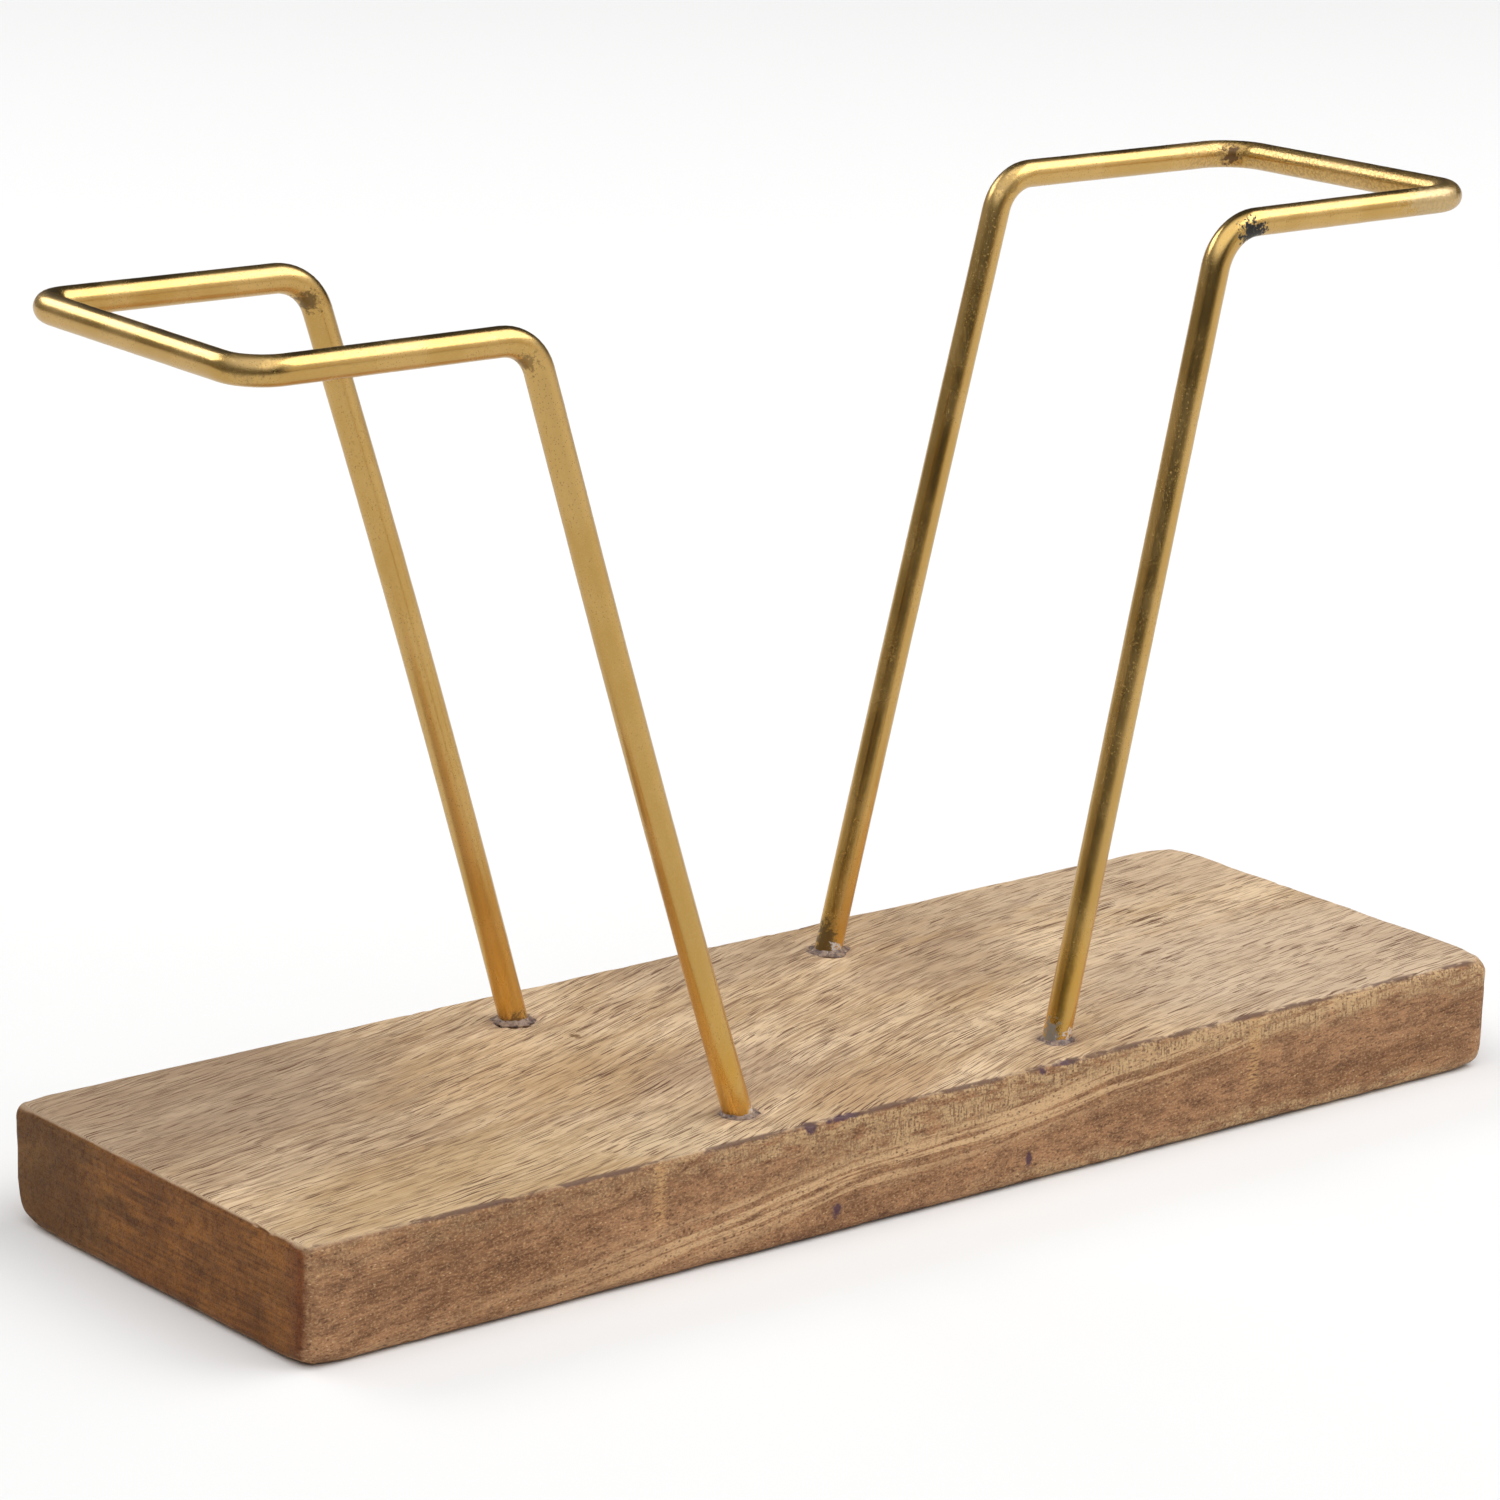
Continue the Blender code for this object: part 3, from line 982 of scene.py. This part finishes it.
def rod_marks(side):
    outer_front, outer_back, shoulder_front, shoulder_back = rod_turns(side)
    if side == "left":
        return [
            Mark(on_rod(side, shoulder_front, (-0.5, -0.5, -0.7)), 2.2, SMUDGE, 0.55, 0.95, 0.5),
            Mark(on_rod(side, shoulder_back, (-0.4, -0.7, -0.6)), 2.5, SMUDGE, 0.8, 0.9, 0.6),
            Mark(on_rod(side, outer_front, (0, -0.8, 0.6)), 3.4, SMUDGE, 0.35, 0.95, 0.2, (0.6, 1, 1)),
            Mark(near_foot(side, "front", 1.6, -1.9, 0.7), 1.3, GLUE_PALE, 0.85, 0.1, -0.3),
            Mark(near_foot(side, "back", -0.4, -2.0, 0.2), 2.2, RUST, 0.8, 0.5, 0.6, (0.8, 1, 1.2)),
        ]
    bend = shoulder_front + Vector((3.2, 0, 0.8)) * MM
    past_bend = bend + Vector((2.0, 0, 0.5)) * MM
    worn = shoulder_front.lerp(outer_front, 0.86)
    return [
        Mark(on_rod(side, bend, (0.35, -0.90, -0.10)), 2.3, BLACK, 2.2, 0.2, 1.0),
        Mark(on_rod(side, past_bend, (0.30, -0.80, -0.50)), 2.0, BLACK, 2.2, 0.2, 1.0),
        Mark(on_rod(side, outer_back, (-0.6, -0.7, 0.1)), 1.9, RUST, 0.95, 0.8, 2.5),
        Mark(on_rod(side, worn, (0, -1, 0.1)), 3.4, PALE, 0.45, 0.8, 0.2, (0.4, 1, 1)),
        Mark(on_rod(side, shoulder_back, (-0.4, -0.6, 0.5)), 2.4, SMUDGE, 0.35, 0.9, 0.3),
        Mark(near_foot(side, "front", -2.2, -0.6, 1.0), 2.0, STEEL, 0.95, 0.9, 0.1, (1, 1, 0.6)),
        Mark(near_foot(side, "front", 0.6, -2.3, 0.6), 1.3, GLUE_PALE, 0.85, 0.1, -0.3),
        Mark(near_foot(side, "back", -1.6, -1.2, 0.8), 3.2, BLACK, 0.75, 0.6, 0.8, (1.6, 1, 0.4)),
        Mark(near_foot(side, "back", -0.2, -2.3, 0.6), 1.0, GLUE_PALE, 0.9, 0.1, -0.3),
    ]


def make_rod(side):
    """One round rod swept along its bent centreline, with the plating's slight unevenness."""
    path, radius = RODS[side]
    last = len(path) - 1
    tangents = [(path[min(i + 1, last)] - path[max(i - 1, 0)]).normalized() for i in range(last + 1)]
    across = tangents[0].orthogonal().normalized()
    places = []
    for point, tangent in zip(path, tangents):
        across = (across - tangent * across.dot(tangent)).normalized()
        other = tangent.cross(across)
        for step in range(ROD_SIDES):
            angle = math.tau * step / ROD_SIDES
            outward = across * math.cos(angle) + other * math.sin(angle)
            surface = point + outward * radius
            dent = noise.noise(surface / (5.5 * MM)) + 0.5 * noise.noise(surface / (1.9 * MM))
            places.append(surface - outward * ROD_RIPPLE * (1 + dent))
    faces = tube_faces(len(path), ROD_SIDES)
    for end in (0, last):
        hub = len(places)
        places.append(path[end])
        for step in range(ROD_SIDES):
            here, after = end * ROD_SIDES + step, end * ROD_SIDES + (step + 1) % ROD_SIDES
            faces.append([hub, after, here] if end == 0 else [hub, here, after])
    rod = mesh_object(f"rod_{side}", places, faces)
    finish_piece(rod, brass_material(side), f"wire_loop_{side}")


# ---------------------------------------------------------------- glue


GLUE_DARK = (0.12, 0.080, 0.075)
GLUE_BROWN = (0.33, 0.23, 0.17)
GLUE_SKIN = (0.55, 0.48, 0.44)
GLUE_CRUMB = (0.06, 0.032, 0.02)


def glue_material():
    """Set glue full of sawdust: pale lumps, purplish-grey skin and dark crumbs."""
    material, g, shader = new_material("set_glue")
    place = millimetres(g)
    lumps = g.noise(place, 0.9, detail=4.0, roughness=0.6)
    skin = g.noise(place, 2.6, detail=3.0)
    crumbs = g.cells(place, 1.5)
    colour = g.mix(g.fade(lumps, 0.36, 0.62), GLUE_DARK, GLUE_BROWN)
    colour = g.mix(g.fade(skin, 0.62, 0.72, 0.0, 0.8), colour, GLUE_SKIN)
    colour = g.mix(g.fade(crumbs, 0.12, 0.28, 0.9, 0.0), colour, GLUE_CRUMB)
    g.feed(shader.inputs["Base Color"], colour)
    g.feed(shader.inputs["Roughness"], g.fade(skin, 0.4, 0.7, 0.30, 0.60))
    shader.inputs["Subsurface Weight"].default_value = 0.15
    shader.inputs["Subsurface Radius"].default_value = (1.2 * MM, 0.8 * MM, 0.6 * MM)
    g.feed(shader.inputs["Normal"], g.bump(g.add(lumps, g.times(skin, 0.5)), 0.2 * MM, 0.8))
    return material


def bead_section(foot, slant, radius, reach, around, seed):
    """Points round a bead's cross-section on one side of the leg, from its top inner edge."""
    ragged = noise.noise(around * 1.6 + Vector((seed, 0, 0)))
    ragged += 0.6 * noise.noise(around * 4.5 + Vector((0, seed, 0)))
    creep = 0.55 + 0.45 * noise.noise(around * 2.2 + Vector((seed, seed, 0)))
    inner = radius * BEAD_OVERLAP
    outer = radius + reach * max(BEAD_LEAST_REACH, 1 + 0.75 * ragged)
    points = []
    for ring in range(BEAD_RINGS):
        share = ring / (BEAD_RINGS - 1)
        flat = inner + (outer - inner) * share
        lump = noise.noise(around * flat / BEAD_LUMP_SIZE + Vector((seed, 0, share * 3)))
        height = (BEAD_CREEP * creep + BEAD_LIP) * (1 - share) ** BEAD_FALL
        height += lump * BEAD_LUMP * (1 - share)
        height = max(height, BEAD_LEAST_HEIGHT) - BEAD_SLOPE * share
        points.append(foot + around * flat + slant * height + Vector((0, 0, height)))
    below = slant * BEAD_LEAN_DEPTH + Vector((0, 0, BEAD_DEPTH))
    return points + [foot + around * flat - below for flat in (outer, inner)]


def make_bead(side, place, material, seed):
    """A ragged ring of glue that has crept over the board and a little way up the leg."""
    foot, up = FEET[(side, place)]
    slant = Vector((up.x / up.z, up.y / up.z, 0))
    places, faces = [], []
    for step in range(BEAD_SIDES):
        angle = math.tau * step / BEAD_SIDES
        around = Vector((math.cos(angle), math.sin(angle), 0))
        places += bead_section(foot, slant, RODS[side].radius, BEAD_REACH[place], around, seed)
    count = BEAD_RINGS + 2
    for step in range(BEAD_SIDES):
        here, after = step * count, (step + 1) % BEAD_SIDES * count
        for ring in range(count):
            upper = (ring + 1) % count
            faces.append([here + ring, here + upper, after + upper, after + ring])
    bead = mesh_object(f"glue_{side}_{place}", places, faces)
    finish_piece(bead, material, f"glue_bead_{side}_{place}")


# ---------------------------------------------------------------- studio


def make_camera():
    """Camera with its roll, looking from the front left and a little above."""
    azimuth, elevation, roll = CAMERA_AZIMUTH, CAMERA_ELEVATION, CAMERA_ROLL
    flat = math.cos(elevation)
    back = Vector((-math.sin(azimuth) * flat, -math.cos(azimuth) * flat, math.sin(elevation)))
    right = (-back).cross(Vector((0, 0, 1))).normalized()
    upright = right.cross(-back)
    rolled_right = right * math.cos(roll) + upright * math.sin(roll)
    rolled_up = upright * math.cos(roll) - right * math.sin(roll)
    data = bpy.data.cameras.new("camera")
    data.lens = CAMERA_LENS
    data.sensor_width = CAMERA_SENSOR
    data.clip_start, data.clip_end = CAMERA_CLIP
    camera = bpy.data.objects.new("camera", data)
    bpy.context.scene.collection.objects.link(camera)
    turn = Matrix((rolled_right, rolled_up, back)).transposed().to_4x4()
    camera.matrix_world = Matrix.Translation(CAMERA_TARGET + back * CAMERA_DISTANCE) @ turn
    bpy.context.scene.camera = camera


def make_light(name, direction, size, power):
    """A soft rectangular light in the given direction from the object, aimed at it."""
    data = bpy.data.lights.new(name, "AREA")
    data.shape = "RECTANGLE"
    data.size, data.size_y = size
    data.energy = power
    light = bpy.data.objects.new(name, data)
    bpy.context.scene.collection.objects.link(light)
    aim = Vector(direction).normalized()
    light.location = CAMERA_TARGET + aim * LIGHT_DISTANCE
    light.rotation_mode = "QUATERNION"
    light.rotation_quaternion = aim.to_track_quat("Z", "Y")
    light.visible_camera = False


def make_floor():
    """A plain pale floor. Reflections show a tan table that darkens to the front left instead."""
    half = FLOOR_HALF
    corners = [(-half, -half, 0), (half, -half, 0), (half, half, 0), (-half, half, 0)]
    floor = mesh_object("floor", corners, [(0, 1, 2, 3)])
    floor.location.z = -FLOOR_DROP
    material, g, shader = new_material("pale_floor")
    reflected = g.node("ShaderNodeLightPath").outputs["Is Glossy Ray"]
    place = g.node("ShaderNodeTexCoord").outputs["Object"]
    spread = g.vector("DOT_PRODUCT", place, TABLE_WAY)
    table = g.mix(g.fade(spread, 0.40, 0.80), TABLE_TAN, TABLE_DARK)
    g.feed(shader.inputs["Base Color"], g.mix(reflected, FLOOR_PALE, table))
    shader.inputs["Roughness"].default_value = 0.9
    shader.inputs["Specular IOR Level"].default_value = 0.0
    floor.data.materials.append(material)


def make_world():
    """A small studio: dark walls, a bright ceiling that leans to the front left, and a side window.

    Reflections see it a little dimmer, and the camera itself sees a plain pale wall.
    """
    world = bpy.data.worlds.new("studio")
    world.use_nodes = True
    bpy.context.scene.world = world
    g = Graph(world.node_tree)
    direction = g.node("ShaderNodeTexCoord").outputs["Generated"]
    walls = g.fade(g.vector("DOT_PRODUCT", direction, BACK_WALL), 0.30, 0.85, 0.04, 0.28)
    ceiling = g.fade(g.vector("DOT_PRODUCT", direction, CEILING), 0.58, 0.92, 0.0, 1.60)
    side_window = g.fade(g.vector("DOT_PRODUCT", direction, SIDE_WINDOW), 0.70, 0.97, 0.0, 0.80)
    strength = g.add(g.math("MAXIMUM", ceiling, side_window), walls)
    rays = g.node("ShaderNodeLightPath").outputs
    seen, mirrored = rays["Is Camera Ray"], rays["Is Glossy Ray"]
    strength = g.times(strength, g.add(1.0, g.times(mirrored, -REFLECTION_LOSS)))
    strength = g.add(g.times(strength, g.minus(1.0, seen)), g.times(seen, SEEN_STRENGTH))
    tint = g.mix(g.fade(g.separate(direction)[Z], 0.0, 0.4), LOW_TINT, WHITE)
    background = world.node_tree.nodes["Background"]
    g.feed(background.inputs["Color"], g.mix(seen, tint, WHITE))
    g.feed(background.inputs["Strength"], strength)


def make_studio():
    make_camera()
    make_floor()
    make_world()
    for name, direction, size, power in LIGHTS:
        make_light(name, direction, size, power)
    bpy.context.scene.view_settings.view_transform = "Standard"


make_studio()
make_board()
glue = glue_material()
for number, loop_side in enumerate(RODS):
    make_rod(loop_side)
    for shift, leg_place in enumerate(("front", "back")):
        make_bead(loop_side, leg_place, glue, 2.3 + number * 4.1 + shift * 1.9)
